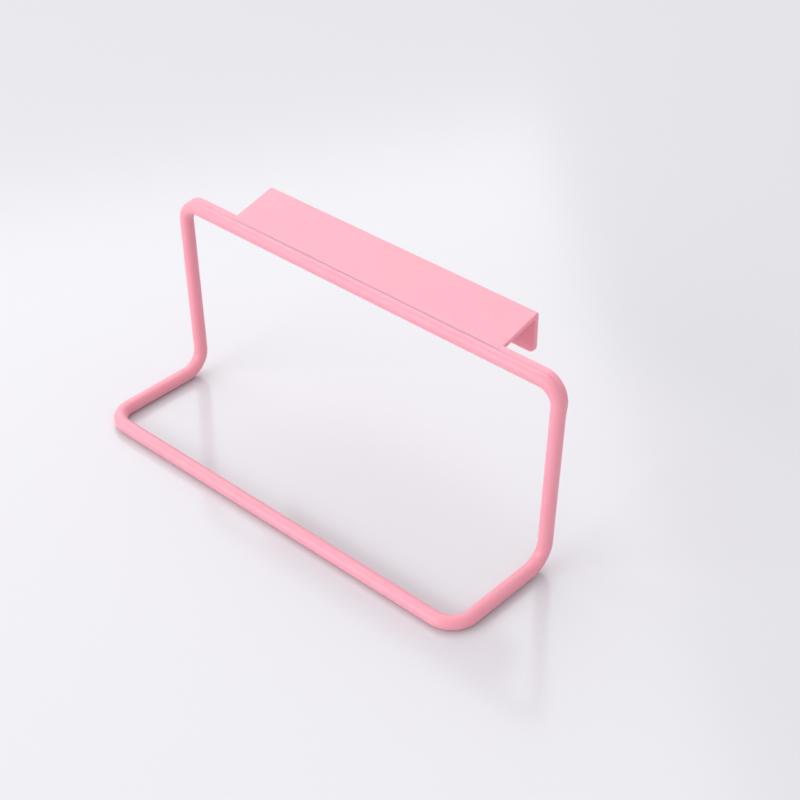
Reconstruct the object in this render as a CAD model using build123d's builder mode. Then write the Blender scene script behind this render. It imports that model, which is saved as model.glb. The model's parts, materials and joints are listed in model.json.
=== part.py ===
"""Over-door towel bar: one closed loop of round moulded bar that carries a hook for a cabinet door.

The loop has a top rail, two uprights, two feet and a front towel bar, with a bend between each
pair. Behind the top rail a sloping plate reaches over the door's top edge and folds down into a lip.
The part stands on its feet: +Z is up, +Y points from the towel bar to the lip, +X is to the right,
and the origin is on the floor under the middle of the whole part.
"""

from build123d import *
from math import atan2, cos, degrees, radians, sin, tan
import os

os.makedirs("parts", exist_ok=True)

# Driving dimensions, in millimetres and degrees
overall_width = 234.0  # across the round bars of the two top corners
foot_width = 228.4  # across the two feet, so that the uprights lean in a little
bar_diameter = 6.8
rail_rise = 94.0  # from the feet's centre line to the top rail's
bar_reach = 60.0  # from the uprights' centre line to the towel bar's
top_radius = 9.5  # of the bar's centre line at the top corners
foot_radius = 11.0  # where the uprights turn into the feet
front_radius = 11.0  # where the feet turn into the towel bar
shoulder_depth = 3.8  # the top rail's square rear shoulder, behind the rail's centre
crease_drop = 0.3  # the hook's face lies this much lower than flush with the top of the rail
shoulder_runout = 12.0  # length over which the shoulder dies away down each upright
hook_width = 161.4
hook_pitch = 14.0  # the hook plate climbs this much towards the lip
hook_thickness = 2.4
door_gap = 21.1  # between the back of the uprights and the lip
lip_drop = 20.8  # from the fold's outer corner, taken as sharp, to the lip's lower edge
fold_radius = 1.3  # outside of the fold between plate and lip
fold_inner_radius = 0.8
lip_corner_radius = 3.0

# What follows from them
bar_radius = bar_diameter / 2
top_half = overall_width / 2 - bar_radius
foot_half = foot_width / 2 - bar_radius
foot_z = bar_radius
rail_z = foot_z + rail_rise
lean = degrees(atan2(top_half - foot_half, rail_rise))
top_turn = 90 + lean
lip_rear = bar_radius + door_gap + hook_thickness  # behind the uprights' centre line
part_depth = bar_reach + bar_radius + lip_rear
back_y = part_depth / 2 - lip_rear  # the uprights' centre line
front_y = back_y - bar_reach
lip_y = back_y + lip_rear
slope = tan(radians(hook_pitch))
thickness_rise = hook_thickness / cos(radians(hook_pitch))  # the plate's thickness, measured upright


def plate_top(y):
    """Height of the plate's upper face, which meets the round rail in a shallow crease."""
    return rail_z + bar_radius / cos(radians(hook_pitch)) - crease_drop + (y - back_y) * slope


# The shoulder's heights above the rail's centre, at its rear and above the centre
shoulder_height = plate_top(back_y + shoulder_depth) - rail_z
crease_height = plate_top(back_y) - rail_z


def direction_down(side):
    """Unit direction of an upright, from its top corner to its foot. side is -1 left, +1 right."""
    return Vector(-side * sin(radians(lean)), 0, -cos(radians(lean)))


def rail_section():
    """Draws the top rail's section: a round bar with a square shoulder at its upper rear."""
    with Locations((back_y, rail_z)):
        Circle(bar_radius)
    Polygon(
        (back_y, rail_z),
        (back_y + shoulder_depth, rail_z),
        (back_y + shoulder_depth, rail_z + shoulder_height),
        (back_y, rail_z + crease_height),
        align=None,
    )


# Lengths of the straight runs, which end where the bends begin
top_tangent = top_radius * tan(radians(top_turn / 2))
rail_half = top_half - top_tangent
upright_length = rail_rise / cos(radians(lean)) - top_tangent - foot_radius
foot_length = bar_reach - foot_radius - front_radius
towel_bar_half = foot_half - front_radius

# Top rail, with its shoulder along the whole length
with BuildPart() as top_rail:
    with BuildSketch(Plane.YZ.offset(-rail_half)):
        rail_section()
    extrude(amount=2 * rail_half)
top_rail.part.label = "top_rail"

members = [top_rail]

for side, name in ((-1, "left"), (1, "right")):
    down = direction_down(side)
    top_corner = Vector(side * top_half, back_y, rail_z)
    foot_corner = Vector(side * foot_half, back_y, foot_z)
    front_corner = Vector(side * foot_half, front_y, foot_z)

    # Bend from the top rail into the upright
    top_centre = (side * rail_half, back_y, rail_z - top_radius)
    with BuildPart() as top_bend:
        with BuildSketch(Plane.YZ.offset(side * rail_half)):
            rail_section()
        revolve(axis=Axis(top_centre, (0, side, 0)), revolution_arc=top_turn)
    top_bend.part.label = f"{name}_top_bend"

    # Upright, with the shoulder dying away behind its outer side
    upright_top = top_corner + down * top_tangent
    upright_plane = Plane(origin=upright_top, x_dir=(0, 1, 0), z_dir=down)
    shoulder_end = Plane(
        origin=upright_top + Vector(0, shoulder_depth, 0),
        x_dir=(1, 0, 0),
        z_dir=(0, shoulder_runout, -shoulder_depth),
    )
    outward = 1 if upright_plane.y_dir.X * side > 0 else -1
    with BuildPart() as upright:
        with BuildSketch(upright_plane):
            Polygon(
                (0, 0),
                (shoulder_depth, 0),
                (shoulder_depth, outward * shoulder_height),
                (0, outward * crease_height),
                align=None,
            )
        extrude(amount=shoulder_runout)
        split(bisect_by=shoulder_end, keep=Keep.BOTTOM)
        with BuildSketch(upright_plane):
            Circle(bar_radius)
        extrude(amount=upright_length)
    upright.part.label = f"{name}_upright"

    # Bend from the upright forward into the foot
    foot_bend_start = foot_corner - down * foot_radius
    foot_bend_centre = foot_bend_start - Vector(0, foot_radius, 0)
    with BuildPart() as foot_bend:
        with BuildSketch(Plane(origin=foot_bend_start, x_dir=(0, 1, 0), z_dir=down)):
            Circle(bar_radius)
        revolve(axis=Axis(foot_bend_centre, down.cross(Vector(0, -1, 0))), revolution_arc=90)
    foot_bend.part.label = f"{name}_foot_bend"

    # Foot, flat along the floor
    foot_start = foot_corner - Vector(0, foot_radius, 0)
    with BuildPart() as foot:
        with BuildSketch(Plane(origin=foot_start, x_dir=(1, 0, 0), z_dir=(0, -1, 0))):
            Circle(bar_radius)
        extrude(amount=foot_length)
    foot.part.label = f"{name}_foot"

    # Bend from the foot inward into the towel bar
    front_bend_start = front_corner + Vector(0, front_radius, 0)
    front_bend_centre = front_bend_start - Vector(side * front_radius, 0, 0)
    with BuildPart() as front_bend:
        with BuildSketch(Plane(origin=front_bend_start, x_dir=(1, 0, 0), z_dir=(0, -1, 0))):
            Circle(bar_radius)
        revolve(axis=Axis(front_bend_centre, (0, 0, -side)), revolution_arc=90)
    front_bend.part.label = f"{name}_front_bend"

    members += [top_bend, upright, foot_bend, foot, front_bend]

# Towel bar, along the front
with BuildPart() as towel_bar:
    with BuildSketch(Plane.YZ.offset(-towel_bar_half)):
        with Locations((front_y, foot_z)):
            Circle(bar_radius)
    extrude(amount=2 * towel_bar_half)
towel_bar.part.label = "towel_bar"

# The plate and the lip meet the fold on cuts square to them, through the centre of its inner radius
fold_reach = fold_inner_radius + hook_thickness
fold_y = lip_y - fold_reach
fold_z = plate_top(fold_y) - fold_reach / cos(radians(hook_pitch))
plate_cut = Vector(-sin(radians(hook_pitch)), cos(radians(hook_pitch)))  # from the fold's centre
plate_end_top = (fold_y + fold_reach * plate_cut.X, fold_z + fold_reach * plate_cut.Y)
plate_end_bottom = (fold_y + fold_inner_radius * plate_cut.X, fold_z + fold_inner_radius * plate_cut.Y)
shoulder_y = back_y + shoulder_depth

# Hook plate, from the rail's shoulder to the start of the fold
with BuildPart() as hook_plate:
    with BuildSketch(Plane.YZ.offset(-hook_width / 2)):
        with BuildLine():
            Polyline(
                (shoulder_y, plate_top(shoulder_y)),
                plate_end_top,
                plate_end_bottom,
                (shoulder_y, plate_top(shoulder_y) - thickness_rise),
                close=True,
            )
        make_face()
    extrude(amount=hook_width)
hook_plate.part.label = "hook_plate"

# Fold over the door's rear top corner: its outer corner is tighter than a bend of even thickness
lip_front = lip_y - hook_thickness
with BuildPart() as hook_fold:
    with BuildSketch(Plane.YZ.offset(-hook_width / 2)):
        with BuildLine():
            CenterArc((fold_y, fold_z), fold_inner_radius, 0, 90 + hook_pitch)
            Polyline(
                plate_end_bottom,
                plate_end_top,
                (lip_y, plate_top(lip_y)),
                (lip_y, fold_z),
                (lip_front, fold_z),
            )
        make_face()
    extrude(amount=hook_width)
    fillet(hook_fold.edges().filter_by(Axis.X).sort_by(Axis.Z)[-1], fold_radius)
hook_fold.part.label = "hook_fold"

# Lip, hanging behind the door, with rounded lower corners
lip_bottom = plate_top(lip_y) - lip_drop
with BuildPart() as hook_lip:
    with BuildSketch(Plane.YZ.offset(-hook_width / 2)):
        with BuildLine():
            Polyline(
                (lip_front, fold_z),
                (lip_y, fold_z),
                (lip_y, lip_bottom),
                (lip_front, lip_bottom),
                close=True,
            )
        make_face()
    extrude(amount=hook_width)
    fillet(hook_lip.edges().filter_by(Axis.Y).group_by(Axis.Z)[0], lip_corner_radius)
hook_lip.part.label = "hook_lip"

members += [towel_bar, hook_plate, hook_fold, hook_lip]

for member in members:
    export_step(member.part, f"parts/{member.part.label}.step")
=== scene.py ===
"""Over-door towel bar in satin pink moulded plastic, standing on a pale table top."""

import json
from math import asin, atan2, cos, hypot, pi, radians, sin, tan

import bmesh
import bpy
from bpy.props import FloatProperty, FloatVectorProperty, IntProperty, PointerProperty, StringProperty
from mathutils import Matrix, Vector


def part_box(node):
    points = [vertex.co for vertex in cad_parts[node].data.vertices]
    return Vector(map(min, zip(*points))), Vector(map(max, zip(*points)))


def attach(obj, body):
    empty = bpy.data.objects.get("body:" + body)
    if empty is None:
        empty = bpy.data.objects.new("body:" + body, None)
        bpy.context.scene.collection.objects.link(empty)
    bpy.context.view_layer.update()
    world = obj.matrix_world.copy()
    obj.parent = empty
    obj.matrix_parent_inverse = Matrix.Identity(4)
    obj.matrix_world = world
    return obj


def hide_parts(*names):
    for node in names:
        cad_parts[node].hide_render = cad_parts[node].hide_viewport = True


bl_info = {
    "name": "Over-door towel bar",
    "version": (1, 0, 0),
    "blender": (4, 5, 0),
    "location": "3D View > Sidebar > Towel Bar",
    "description": "Builds a moulded towel bar that hooks over a cabinet door, with its stage",
    "category": "Add Mesh",
}

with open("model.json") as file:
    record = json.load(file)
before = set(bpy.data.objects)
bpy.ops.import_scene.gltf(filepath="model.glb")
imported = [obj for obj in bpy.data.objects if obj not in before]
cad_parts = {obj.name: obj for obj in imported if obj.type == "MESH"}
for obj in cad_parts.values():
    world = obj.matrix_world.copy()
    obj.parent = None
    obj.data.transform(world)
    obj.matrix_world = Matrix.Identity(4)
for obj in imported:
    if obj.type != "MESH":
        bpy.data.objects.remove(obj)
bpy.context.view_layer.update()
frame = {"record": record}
MM = 0.001
TOUCH = 0.01 * MM  # nearer than this counts as the same place
MERGE = 0.001 * MM  # vertices nearer than this become one
BODY = "root"


def mount(name):
    """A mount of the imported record, by its name."""
    return next(m for m in frame["record"]["mounts"] if m["name"] == name)


# What the frame says about the loop of bar
BAR_LOW, BAR_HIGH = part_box("towel_bar")
RAIL_LOW, RAIL_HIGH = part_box("top_rail")
FOOT_LOW, FOOT_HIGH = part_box("right_foot")
BAR_RADIUS = (BAR_HIGH.z - BAR_LOW.z) / 2
BACK_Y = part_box("right_upright")[0].y + BAR_RADIUS
FRONT_Y = BAR_LOW.y + BAR_RADIUS
FOOT_Z = BAR_LOW.z + BAR_RADIUS
RAIL_Z = RAIL_LOW.z + BAR_RADIUS
FOOT_HALF = FOOT_LOW.x + BAR_RADIUS
RAIL_HALF = RAIL_HIGH.x
FOOT_BEND_RADIUS = BACK_Y - FOOT_HIGH.y
FRONT_BEND_RADIUS = FOOT_LOW.y - FRONT_Y
SHOULDER_DEPTH = RAIL_HIGH.y - BACK_Y

# What it says about the hook
PLATE_LOW, PLATE_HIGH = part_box("hook_plate")
LIP_LOW, LIP_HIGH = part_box("hook_lip")
HOOK_HALF = PLATE_HIGH.x
HOOK_THICKNESS = LIP_HIGH.y - LIP_LOW.y
UNDERSIDE = Vector(mount("plate_underside")["axis"])
PITCH = atan2(UNDERSIDE.y, -UNDERSIDE.z)

# The round bar's flats, and where on it the shoulder's outline starts: five flats below its rear
SIDES = 64
FLAT = 2 * pi / SIDES
SHOULDER_START = -5 * FLAT

# The stage, in metres
TABLE_HALF = 6.0
LIGHT_TARGET = (0, 0, 0.05)
KEY_PLACE = (-3.0, 1.65, 4.35)
KEY_SIZE = (5.0, 5.0)
FILL_PLACE = (-1.2, -3.0, 1.2)
FILL_SIZE = (3.0, 1.6)
ROOM_COLOUR = "#F4F4F6"
SENSOR_WIDTH = 36  # millimetres, as the lens


def plate_top(y):
    """Height of the hook plate's upper face."""
    return PLATE_LOW.z + HOOK_THICKNESS / cos(PITCH) + (y - PLATE_LOW.y) * tan(PITCH)


class TowelBarLoopSizes(bpy.types.PropertyGroup):
    """Sizes of the bent bar"""

    top_radius: FloatProperty(
        name="Top corner radius",
        description="Radius of the bar's centre line at the two top corners",
        default=9.5 * MM,
        subtype="DISTANCE",
        unit="LENGTH",
    )
    shoulder_runout: FloatProperty(
        name="Shoulder run-out",
        description="Length of upright, below the bend, in which the last of the shoulder dies away",
        default=6 * MM,
        subtype="DISTANCE",
        unit="LENGTH",
    )
    shoulder_edge: FloatProperty(
        name="Shoulder edge radius",
        description="Radius of the shoulder's upper rear edge",
        default=0.6 * MM,
        subtype="DISTANCE",
        unit="LENGTH",
    )
    groove: FloatProperty(
        name="Groove",
        description="Width and depth of the groove between the shoulder's flat and the round bar",
        default=0.15 * MM,
        subtype="DISTANCE",
        unit="LENGTH",
    )
    bend_steps: IntProperty(name="Bend steps", description="Flats along each bend", default=20, min=6)


class TowelBarHookSizes(bpy.types.PropertyGroup):
    """Sizes of the hook"""

    fold_radius: FloatProperty(
        name="Fold radius",
        description="Radius outside of the fold between plate and lip",
        default=1.35 * MM,
        subtype="DISTANCE",
        unit="LENGTH",
    )
    fold_inner_radius: FloatProperty(
        name="Fold inner radius",
        description="Radius inside of the fold between plate and lip",
        default=0.8 * MM,
        subtype="DISTANCE",
        unit="LENGTH",
    )
    edge_radius: FloatProperty(
        name="Edge radius",
        description="Radius of the plate's and lip's edges",
        default=0.5 * MM,
        subtype="DISTANCE",
        unit="LENGTH",
    )
    corner_radius: FloatProperty(
        name="Lip corner radius",
        description="Radius of the lip's two lower corners",
        default=3 * MM,
        subtype="DISTANCE",
        unit="LENGTH",
    )
    fold_steps: IntProperty(name="Fold steps", description="Flats round the fold", default=8, min=4)


class TowelBarFinish(bpy.types.PropertyGroup):
    """Colours and surface"""

    plastic: StringProperty(
        name="Plastic",
        description="Colour of the plastic, as sRGB hex",
        default="#EFA6B5",
    )
    plastic_roughness: FloatProperty(
        name="Plastic roughness",
        description="How far the moulded surface spreads a highlight",
        default=0.36,
        min=0,
        max=1,
        subtype="FACTOR",
    )
    translucency: FloatProperty(
        name="Translucency",
        description="Share of the light that goes through the plastic's skin and spreads inside",
        default=1.0,
        min=0,
        max=1,
        subtype="FACTOR",
    )
    table: StringProperty(
        name="Table",
        description="Colour of the table top, as sRGB hex",
        default="#D9D8DC",
    )
    table_roughness: FloatProperty(
        name="Table roughness",
        description="How far the table top spreads a reflection",
        default=0.15,
        min=0,
        max=1,
        subtype="FACTOR",
    )


class TowelBarStage(bpy.types.PropertyGroup):
    """Camera and lights"""

    azimuth: FloatProperty(
        name="Azimuth",
        description="Camera's turn round the part",
        default=radians(42.27),
        subtype="ANGLE",
        unit="ROTATION",
    )
    elevation: FloatProperty(
        name="Elevation",
        description="Camera's angle above the table",
        default=radians(36.16),
        subtype="ANGLE",
        unit="ROTATION",
    )
    distance: FloatProperty(
        name="Distance",
        description="From the camera to its aim",
        default=0.7233,
        subtype="DISTANCE",
        unit="LENGTH",
    )
    aim: FloatVectorProperty(
        name="Aim",
        description="Point that the camera looks at",
        default=(0.043805, -0.001801, 0.068064),
        subtype="XYZ",
        unit="LENGTH",
    )
    lens: FloatProperty(name="Lens", description="Focal length in millimetres", default=75.47, min=10)
    key: FloatProperty(
        name="Key light",
        description="Power of the high rear light",
        default=126,
        min=0,
        unit="POWER",
    )
    fill: FloatProperty(
        name="Fill light",
        description="Power of the low front light",
        default=62,
        min=0,
        unit="POWER",
    )
    room: FloatProperty(
        name="Room light",
        description="Strength of the light from all round",
        default=0.82,
        min=0,
    )


def hex_colour(text):
    """Turns an sRGB hex colour into the linear colour that a shader needs."""

    def linear(share):
        return share / 12.92 if share <= 0.04045 else ((share + 0.055) / 1.055) ** 2.4

    digits = text.lstrip("#")
    return tuple(linear(int(digits[i : i + 2], 16) / 255) for i in (0, 2, 4)) + (1.0,)


def shade(colour, share):
    """The same linear colour, darker or lighter."""
    return tuple(min(1, share * channel) for channel in colour[:3]) + (1.0,)


def add_node(tree, kind, links=None, **settings):
    """Adds a node, sets its properties or inputs by name, and links outputs to its inputs."""
    node = tree.nodes.new(kind)
    for name, value in settings.items():
        if hasattr(node, name):
            setattr(node, name, value)
        else:
            node.inputs[name.replace("_", " ")].default_value = value
    for name, output in (links or {}).items():
        tree.links.new(output, node.inputs[name])
    return node


def new_material(name):
    """An empty node material and its tree."""
    material = bpy.data.materials.new(name)
    material.use_nodes = True
    material.node_tree.nodes.clear()
    return material, material.node_tree


def moulded_plastic(finish):
    """Polypropylene, injection moulded in a fine satin tool: a soft, even pink with broad highlights.

    Both pieces are one moulding, so they share this material.
    """
    name = "moulded polypropylene satin"
    if name in bpy.data.materials:
        return bpy.data.materials[name]
    material, tree = new_material(name)
    place = add_node(tree, "ShaderNodeTexCoord").outputs["Object"]
    colour = hex_colour(finish.plastic)
    # Flow of the pigment: faint clouds about 40 mm across
    clouds = add_node(tree, "ShaderNodeTexNoise", {"Vector": place}, Scale=1 / (40 * MM), Detail=2.0)
    tint = add_node(tree, "ShaderNodeMix", {"Factor": clouds.outputs["Fac"]}, data_type="RGBA")
    tint.inputs["A"].default_value = shade(colour, 0.96)
    tint.inputs["B"].default_value = shade(colour, 1.03)
    # The tool's grain: about 0.15 mm on the part, drawn at 0.5 mm so that it shows
    grain = add_node(tree, "ShaderNodeTexNoise", {"Vector": place}, Scale=1 / (0.5 * MM), Detail=1.0)
    # Sink and polish of the tool: slow waves about 15 mm long
    waves = add_node(tree, "ShaderNodeTexNoise", {"Vector": place}, Scale=1 / (15 * MM), Detail=0.0)
    relief = add_node(
        tree,
        "ShaderNodeBump",
        {"Height": waves.outputs["Fac"]},
        Strength=0.15,
        Distance=0.3 * MM,
    )
    skin = add_node(
        tree,
        "ShaderNodeBump",
        {"Height": grain.outputs["Fac"], "Normal": relief.outputs["Normal"]},
        Strength=0.06,
        Distance=0.05 * MM,
    )
    # Light spreads about 3 mm inside the plastic, red the furthest, so that the dark sides stay pink
    shader = add_node(
        tree,
        "ShaderNodeBsdfPrincipled",
        {"Base Color": tint.outputs["Result"], "Normal": skin.outputs["Normal"]},
        Roughness=finish.plastic_roughness,
        IOR=1.49,
        Subsurface_Weight=finish.translucency,
        Subsurface_Radius=(1.0, 0.4, 0.45),
        Subsurface_Scale=3 * MM,
    )
    add_node(tree, "ShaderNodeOutputMaterial", {"Surface": shader.outputs["BSDF"]})
    return material


def acrylic_table(finish):
    """White acrylic sheet, cast and polished: even, with faint soft mirror images of what stands on it."""
    material, tree = new_material("cast white acrylic")
    place = add_node(tree, "ShaderNodeTexCoord").outputs["Object"]
    # Slow waves of the cast sheet: about 8 mm across
    waves = add_node(tree, "ShaderNodeTexNoise", {"Vector": place}, Scale=1 / (8 * MM), Detail=1.0)
    relief = add_node(
        tree,
        "ShaderNodeBump",
        {"Height": waves.outputs["Fac"]},
        Strength=0.05,
        Distance=0.2 * MM,
    )
    shader = add_node(
        tree,
        "ShaderNodeBsdfPrincipled",
        {"Normal": relief.outputs["Normal"]},
        Base_Color=hex_colour(finish.table),
        Roughness=finish.table_roughness,
        IOR=1.49,
    )
    add_node(tree, "ShaderNodeOutputMaterial", {"Surface": shader.outputs["BSDF"]})
    return material


def extruded(bm, edges):
    """Extrudes edges in place, and gives the new edges and the new vertices."""
    grown = bmesh.ops.extrude_edge_only(bm, edges=edges)["geom"]
    new_edges = [item for item in grown if isinstance(item, bmesh.types.BMEdge)]
    return new_edges, [item for item in grown if isinstance(item, bmesh.types.BMVert)]


def finished_piece(bm, name, material, nodes):
    """Turns a mesh under construction into a piece that stands for some of the frame's nodes."""
    bmesh.ops.remove_doubles(bm, verts=bm.verts, dist=MERGE)
    bmesh.ops.recalc_face_normals(bm, faces=bm.faces)
    for face in bm.faces:
        face.smooth = True
    # Shading breaks at a hollow crease, such as the one where the shoulder's flat meets the round bar
    hollow = radians(-10)
    for edge in bm.edges:
        if edge.calc_face_angle_signed() < hollow:
            edge.smooth = False
    mesh = bpy.data.meshes.new(name)
    bm.to_mesh(mesh)
    bm.free()
    piece = bpy.data.objects.new(name, mesh)
    bpy.context.scene.collection.objects.link(piece)
    mesh.materials.append(material)
    normals = piece.modifiers.new("even normals", "WEIGHTED_NORMAL")
    normals.keep_sharp = True
    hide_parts(*nodes)
    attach(piece, BODY)


def crease():
    """Where the hook plate's plane cuts the round bar, from the bar's centre, as (rear, up)."""
    nearest = (plate_top(BACK_Y) - RAIL_Z) * cos(PITCH)
    along = (BAR_RADIUS**2 - nearest**2) ** 0.5
    return Vector((along * cos(PITCH) - nearest * sin(PITCH), nearest * cos(PITCH) + along * sin(PITCH)))


def shoulder_outline(edge_radius, groove):
    """The shoulder's outline round the bar's centre, as (rear, outer) points, one for each flat of the bar.

    It leaves the round bar tangentially below the rear face, climbs that face, turns over the rounded
    edge, runs forward a hair below the hook plate's plane, and ends in the bottom of a small groove,
    where that plane would meet the round bar.
    """
    start = BAR_RADIUS * Vector((cos(SHOULDER_START), sin(SHOULDER_START)))
    heel = Vector((SHOULDER_DEPTH, start.y - (SHOULDER_DEPTH - start.x) / tan(SHOULDER_START)))
    corner = Vector((SHOULDER_DEPTH, plate_top(BACK_Y + SHOULDER_DEPTH) - RAIL_Z - TOUCH))
    turn = pi / 2 + PITCH
    centre = corner - edge_radius * Vector((1, tan(turn / 2)))
    face_top = Vector((SHOULDER_DEPTH, centre.y))
    meeting = crease()
    rim = meeting + groove * Vector((cos(PITCH), sin(PITCH))) - Vector((0, TOUCH))
    arc_steps = 6
    flat_steps = 5

    points = [start.lerp(heel, share) for share in (0, 0.55, 0.9)]
    points += [heel.lerp(face_top, share) for share in (0.1, 0.35, 0.6, 0.85)]
    for step in range(arc_steps + 1):
        angle = turn * step / arc_steps
        points.append(centre + edge_radius * Vector((cos(angle), sin(angle))))
    arc_end = points[-1]
    points += [arc_end.lerp(rim, step / flat_steps) for step in range(1, flat_steps + 1)]
    return points + [meeting * (1 - groove / meeting.length)]


class TOWELBAR_OT_loop(bpy.types.Operator):
    """Build the bent bar: top rail, uprights, feet and towel bar in one closed loop"""

    bl_idname = "towelbar.loop"
    bl_label = "Bent bar"

    def execute(self, context):
        sizes = context.scene.towelbar_loop
        radius = sizes.top_radius
        bend_centre = Vector((RAIL_HALF, BACK_Y, RAIL_Z - radius))
        # The upright rises from the foot's corner as a tangent to the top bend
        inward = RAIL_HALF - FOOT_HALF
        drop = bend_centre.z - FOOT_Z
        lean = atan2(inward, drop) + asin(radius / hypot(inward, drop))
        down = Vector((-sin(lean), 0, -cos(lean)))
        outward = Vector((cos(lean), 0, -sin(lean)))

        # The rail's section at its middle; each vertex remembers how far the shoulder pushes it out
        bm = bmesh.new()
        push = bm.verts.layers.float_vector.new("shoulder push")
        stand = Matrix.Translation((0, BACK_Y, RAIL_Z)) @ Matrix(((0, 0, 1), (1, 0, 0), (0, 1, 0))).to_4x4()
        made = bmesh.ops.create_circle(bm, segments=SIDES, radius=BAR_RADIUS, matrix=stand)
        outline = shoulder_outline(sizes.shoulder_edge, sizes.groove)
        for vert in made["verts"]:
            angle = atan2(vert.co.z - RAIL_Z, vert.co.y - BACK_Y)
            place = round((angle - SHOULDER_START) / FLAT)
            if 0 <= place < len(outline):
                rear, outer = outline[place]
                vert[push] = (rear - (vert.co.y - BACK_Y), outer - (vert.co.z - RAIL_Z), 0)
                vert.co.y += vert[push].x
                vert.co.z += vert[push].y
        ring = list(bm.edges)

        def run(edges, offset):
            """Extends the bar straight."""
            edges, verts = extruded(bm, edges)
            bmesh.ops.translate(bm, verts=verts, vec=offset)
            return edges, verts

        def bend(edges, centre, axis, angle, steps):
            """Extends the bar round a bend."""
            grown = bmesh.ops.spin(bm, geom=edges, cent=centre, axis=axis, angle=angle, steps=steps)
            return [item for item in grown["geom_last"] if isinstance(item, bmesh.types.BMEdge)]

        def kept_at(way):
            """What is left of the shoulder, from whole at 0, the start of the bend, to none at 1."""
            return (1 - way) ** 2 * (1 + 2 * way)

        def fade(verts, way, next_way, outer_direction):
            """Pulls the shoulder in by what dies away from one point of its way to the next."""
            share = kept_at(way) - kept_at(next_way)
            for vert in verts:
                rear, outer, _ = vert[push]
                vert.co -= share * (rear * Vector((0, 1, 0)) + outer * outer_direction)

        # The shoulder is whole along the rail, and dies away round the bend and a little below it
        ring, _ = run(ring, Vector((RAIL_HALF, 0, 0)))
        turn = pi / 2 + lean
        fade_length = radius * turn + sizes.shoulder_runout
        way = 0.0
        for k in range(1, sizes.bend_steps + 1):
            ring = bend(ring, bend_centre, (0, 1, 0), turn / sizes.bend_steps, 1)
            angle = turn * k / sizes.bend_steps
            next_way = radius * angle / fade_length
            fade({v for e in ring for v in e.verts}, way, next_way, Vector((sin(angle), 0, cos(angle))))
            way = next_way
        run_steps = 8
        for k in range(1, run_steps + 1):
            ring, verts = run(ring, down * sizes.shoulder_runout / run_steps)
            next_way = 1 - sizes.shoulder_runout * (1 - k / run_steps) / fade_length
            fade(verts, way, next_way, outward)
            way = next_way

        # Round bar from there on: upright, foot and half of the towel bar
        forward = Vector((0, -1, 0))
        upright_start = bend_centre + outward * radius + down * sizes.shoulder_runout
        foot_bend_start = Vector((FOOT_HALF, BACK_Y, FOOT_Z)) - down * FOOT_BEND_RADIUS
        foot_bend_centre = foot_bend_start + forward * FOOT_BEND_RADIUS
        front_bend_centre = Vector((FOOT_HALF - FRONT_BEND_RADIUS, FOOT_LOW.y, FOOT_Z))
        ring, _ = run(ring, foot_bend_start - upright_start)
        ring = bend(ring, foot_bend_centre, down.cross(forward), pi / 2, sizes.bend_steps)
        ring, _ = run(ring, forward * (FOOT_HIGH.y - FOOT_LOW.y))
        ring = bend(ring, front_bend_centre, (0, 0, -1), pi / 2, sizes.bend_steps)
        run(ring, Vector((-front_bend_centre.x, 0, 0)))
        everything = [*bm.verts, *bm.edges, *bm.faces]
        bmesh.ops.mirror(bm, geom=everything, merge_dist=MERGE, axis="X")

        material = moulded_plastic(context.scene.towelbar_finish)
        names = ("top_bend", "upright", "foot_bend", "foot", "front_bend")
        nodes = [f"{side}_{name}" for side in ("left", "right") for name in names]
        finished_piece(bm, "bar_loop", material, ["top_rail", "towel_bar", *nodes])
        return {"FINISHED"}


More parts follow.
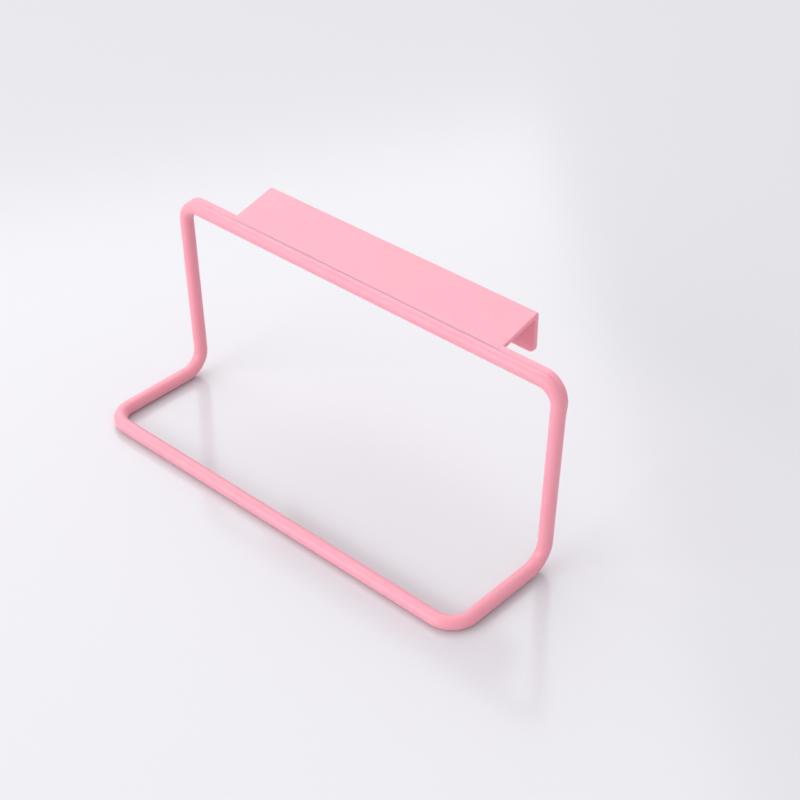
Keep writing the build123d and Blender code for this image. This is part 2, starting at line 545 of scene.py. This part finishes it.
class TOWELBAR_OT_hook(bpy.types.Operator):
    """Build the hook: the sloping plate, its fold and the lip behind the door"""

    bl_idname = "towelbar.hook"
    bl_label = "Door hook"

    def execute(self, context):
        sizes = context.scene.towelbar_hook
        depth = HOOK_THICKNESS / cos(PITCH)
        groove = context.scene.towelbar_loop.groove
        front = BACK_Y + crease().x + groove
        step_back = front + TOUCH
        sharp = radians(50)
        corner_steps = 8
        edge_steps = 4

        # The section as pairs of an upper and a lower point, from the front to the lip's lower edge. Its
        # first two pairs are a tongue inside the rail, below the groove, and the third makes the groove's
        # rear wall. The fourth is the fold's mitred corner.
        section = (
            ((BACK_Y, plate_top(BACK_Y) - 2 * groove), (BACK_Y, plate_top(BACK_Y) - depth)),
            ((front, plate_top(front) - 2 * groove), (front, plate_top(front) - depth)),
            ((step_back, plate_top(step_back)), (step_back, plate_top(step_back) - depth)),
            ((LIP_HIGH.y, plate_top(LIP_HIGH.y)), (LIP_LOW.y, plate_top(LIP_LOW.y) - depth)),
            ((LIP_HIGH.y, LIP_LOW.z), (LIP_LOW.y, LIP_LOW.z)),
        )
        bm = bmesh.new()
        edges = [bm.edges.new([bm.verts.new((-HOOK_HALF, *point)) for point in section[0]])]
        for pair in section[1:]:
            edges, verts = extruded(bm, edges)
            for vert, point in zip(sorted(verts, key=lambda v: -v.co.z), pair):
                vert.co = (-HOOK_HALF, *point)
        bmesh.ops.recalc_face_normals(bm, faces=bm.faces)
        grown = bmesh.ops.extrude_face_region(bm, geom=list(bm.faces))["geom"]
        far_end = [item for item in grown if isinstance(item, bmesh.types.BMVert)]
        bmesh.ops.translate(bm, verts=far_end, vec=(2 * HOOK_HALF, 0, 0))
        bmesh.ops.recalc_face_normals(bm, faces=bm.faces)

        def bevel(edges, size, segments):
            bmesh.ops.bevel(
                bm,
                geom=edges,
                offset=size,
                offset_type="OFFSET",
                affect="EDGES",
                segments=segments,
                profile=0.5,
                material=-1,
                clamp_overlap=True,
            )

        def across(point):
            """The edge that runs from end to end through a point of the section."""
            y, z = point
            return [e for e in bm.edges if all(hypot(v.co.y - y, v.co.z - z) < TOUCH for v in e.verts)]

        def on_lip_corner(edge):
            """Whether an edge is one of the lip's two lower corners, through its thickness."""
            low = all(abs(v.co.z - LIP_LOW.z) < TOUCH for v in edge.verts)
            return low and abs(edge.verts[0].co.x - edge.verts[1].co.x) < TOUCH

        def on_rim(edge):
            """Whether an edge is a sharp one outside the rail."""
            if max(v.co.y for v in edge.verts) <= front + 2 * TOUCH:
                return False
            return len(edge.link_faces) == 2 and edge.calc_face_angle() > sharp

        outer_fold, inner_fold = section[3]
        set_back = tan((pi / 2 + PITCH) / 2)
        bevel(across(outer_fold), sizes.fold_radius * set_back, sizes.fold_steps)
        bevel(across(inner_fold), sizes.fold_inner_radius * set_back, sizes.fold_steps)
        bevel([e for e in bm.edges if on_lip_corner(e)], sizes.corner_radius, corner_steps)
        bevel([e for e in bm.edges if on_rim(e)], sizes.edge_radius, edge_steps)
        material = moulded_plastic(context.scene.towelbar_finish)
        finished_piece(bm, "door_hook", material, ["hook_plate", "hook_fold", "hook_lip"])
        return {"FINISHED"}


def area_light(name, place, size, power):
    """A soft rectangular light that faces the part."""
    light = bpy.data.lights.new(name, "AREA")
    light.shape = "RECTANGLE"
    light.size, light.size_y = size
    light.energy = power
    lamp = bpy.data.objects.new(name, light)
    lamp.location = place
    lamp.rotation_euler = (Vector(LIGHT_TARGET) - Vector(place)).to_track_quat("-Z", "Y").to_euler()
    bpy.context.scene.collection.objects.link(lamp)


class TOWELBAR_OT_stage(bpy.types.Operator):
    """Build the table top, the lights and the camera"""

    bl_idname = "towelbar.stage"
    bl_label = "Stage"

    def execute(self, context):
        scene = context.scene
        stage = scene.towelbar_stage
        bm = bmesh.new()
        bmesh.ops.create_grid(bm, x_segments=1, y_segments=1, size=TABLE_HALF)
        mesh = bpy.data.meshes.new("table_top")
        bm.to_mesh(mesh)
        bm.free()
        floor = bpy.data.objects.new("table_top", mesh)
        mesh.materials.append(acrylic_table(scene.towelbar_finish))
        scene.collection.objects.link(floor)

        area_light("key", KEY_PLACE, KEY_SIZE, stage.key)
        area_light("fill", FILL_PLACE, FILL_SIZE, stage.fill)

        world = bpy.data.worlds.new("room")
        world.use_nodes = True
        background = world.node_tree.nodes["Background"]
        background.inputs["Color"].default_value = hex_colour(ROOM_COLOUR)
        background.inputs["Strength"].default_value = stage.room
        scene.world = world
        scene.view_settings.view_transform = "Standard"

        lens = bpy.data.cameras.new("camera")
        lens.lens = stage.lens
        lens.sensor_width = SENSOR_WIDTH
        camera = bpy.data.objects.new("camera", lens)
        level = cos(stage.elevation)
        back = Vector((sin(stage.azimuth) * level, -cos(stage.azimuth) * level, sin(stage.elevation)))
        camera.location = Vector(stage.aim) + back * stage.distance
        camera.rotation_euler = (-back).to_track_quat("-Z", "Y").to_euler()
        scene.collection.objects.link(camera)
        scene.camera = camera
        return {"FINISHED"}


class TOWELBAR_PT_sidebar(bpy.types.Panel):
    """Lists the towel bar's pieces, sizes and colours"""

    bl_idname = "TOWELBAR_PT_sidebar"
    bl_label = "Over-door towel bar"
    bl_space_type = "VIEW_3D"
    bl_region_type = "UI"
    bl_category = "Towel Bar"

    def draw(self, context):
        for group in GROUPS:
            settings = getattr(context.scene, group)
            box = self.layout.box()
            for name in settings.bl_rna.properties.keys():
                if name not in ("rna_type", "name"):
                    box.prop(settings, name)
        for operator in (TOWELBAR_OT_loop, TOWELBAR_OT_hook, TOWELBAR_OT_stage):
            self.layout.operator(operator.bl_idname)


GROUPS = {
    "towelbar_loop": TowelBarLoopSizes,
    "towelbar_hook": TowelBarHookSizes,
    "towelbar_finish": TowelBarFinish,
    "towelbar_stage": TowelBarStage,
}
CLASSES = (*GROUPS.values(), TOWELBAR_OT_loop, TOWELBAR_OT_hook, TOWELBAR_OT_stage, TOWELBAR_PT_sidebar)


def register():
    for item in CLASSES:
        bpy.utils.register_class(item)
    for name, group in GROUPS.items():
        setattr(bpy.types.Scene, name, PointerProperty(type=group))


def unregister():
    for name in GROUPS:
        delattr(bpy.types.Scene, name)
    for item in reversed(CLASSES):
        bpy.utils.unregister_class(item)


def main():
    register()
    bpy.ops.towelbar.loop()
    bpy.ops.towelbar.hook()
    bpy.ops.towelbar.stage()


if __name__ == "__main__":
    main()
